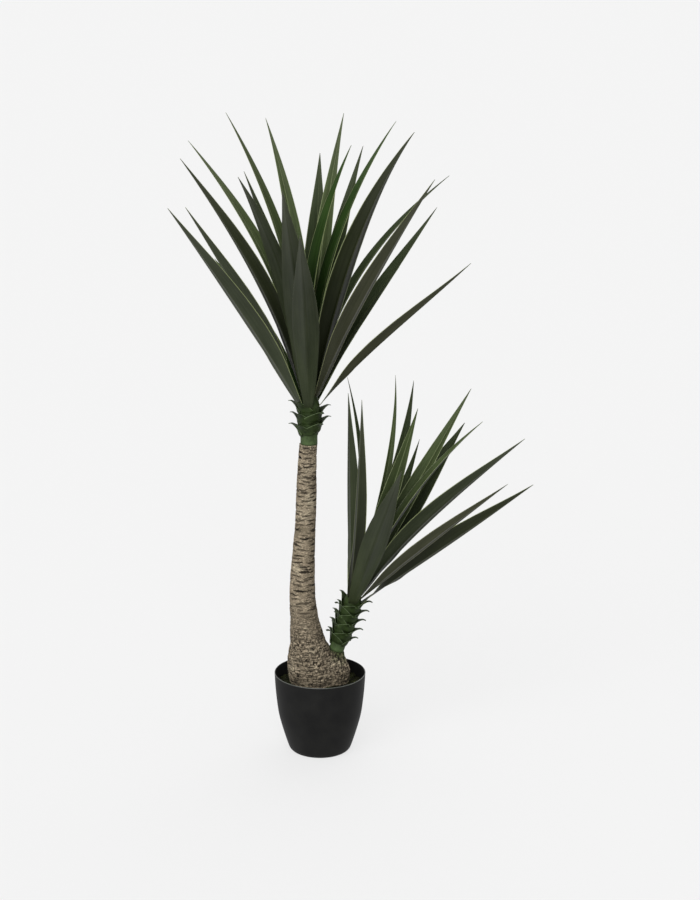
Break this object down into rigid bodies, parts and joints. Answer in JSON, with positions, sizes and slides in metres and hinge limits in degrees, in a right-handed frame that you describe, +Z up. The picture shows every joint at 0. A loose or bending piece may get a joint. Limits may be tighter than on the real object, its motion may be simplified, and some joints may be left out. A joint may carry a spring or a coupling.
{
  "type": "artificial yucca in pot",
  "caption": "Artificial yucca with two rosettes of sword leaves on a bark trunk and a short side stem, standing in a plain black round pot.",
  "frame": {"origin": "centre of the pot's flat underside", "axes": "+Z up, +X to the right as seen from the front, +Y to the back"},
  "size_m": [0.803, 0.8707, 1.4843],
  "materials": {
    "pot": "satin moulded plastic",
    "moss": "dark mossy filling",
    "bark": "cracked grey-brown bark",
    "green_neck": "moulded green scales",
    "leaf": "satin coated fabric"
  },
  "bodies": {
    "root": {"pot": "pot", "pot_fill": "moss", "trunk": "bark", "side_stub": "bark", "main_neck": "green_neck", "side_neck": "green_neck", "main_leaf_01": "leaf", "main_leaf_02": "leaf", "main_leaf_03": "leaf", "main_leaf_04": "leaf", "main_leaf_05": "leaf", "main_leaf_06": "leaf", "main_leaf_07": "leaf", "main_leaf_08": "leaf", "main_leaf_09": "leaf", "main_leaf_10": "leaf", "main_leaf_11": "leaf", "main_leaf_12": "leaf", "main_leaf_13": "leaf", "main_leaf_14": "leaf", "main_leaf_15": "leaf", "main_leaf_16": "leaf", "main_leaf_17": "leaf", "main_leaf_18": "leaf", "main_leaf_19": "leaf", "main_leaf_20": "leaf", "main_leaf_21": "leaf", "main_leaf_22": "leaf", "main_leaf_23": "leaf", "main_leaf_24": "leaf", "main_leaf_25": "leaf", "side_leaf_01": "leaf", "side_leaf_02": "leaf", "side_leaf_03": "leaf", "side_leaf_04": "leaf", "side_leaf_05": "leaf", "side_leaf_06": "leaf", "side_leaf_07": "leaf", "side_leaf_08": "leaf", "side_leaf_09": "leaf", "side_leaf_10": "leaf", "side_leaf_11": "leaf", "side_leaf_12": "leaf", "side_leaf_13": "leaf", "side_leaf_14": "leaf", "side_leaf_15": "leaf", "side_leaf_16": "leaf"}
  },
  "joints": []
}
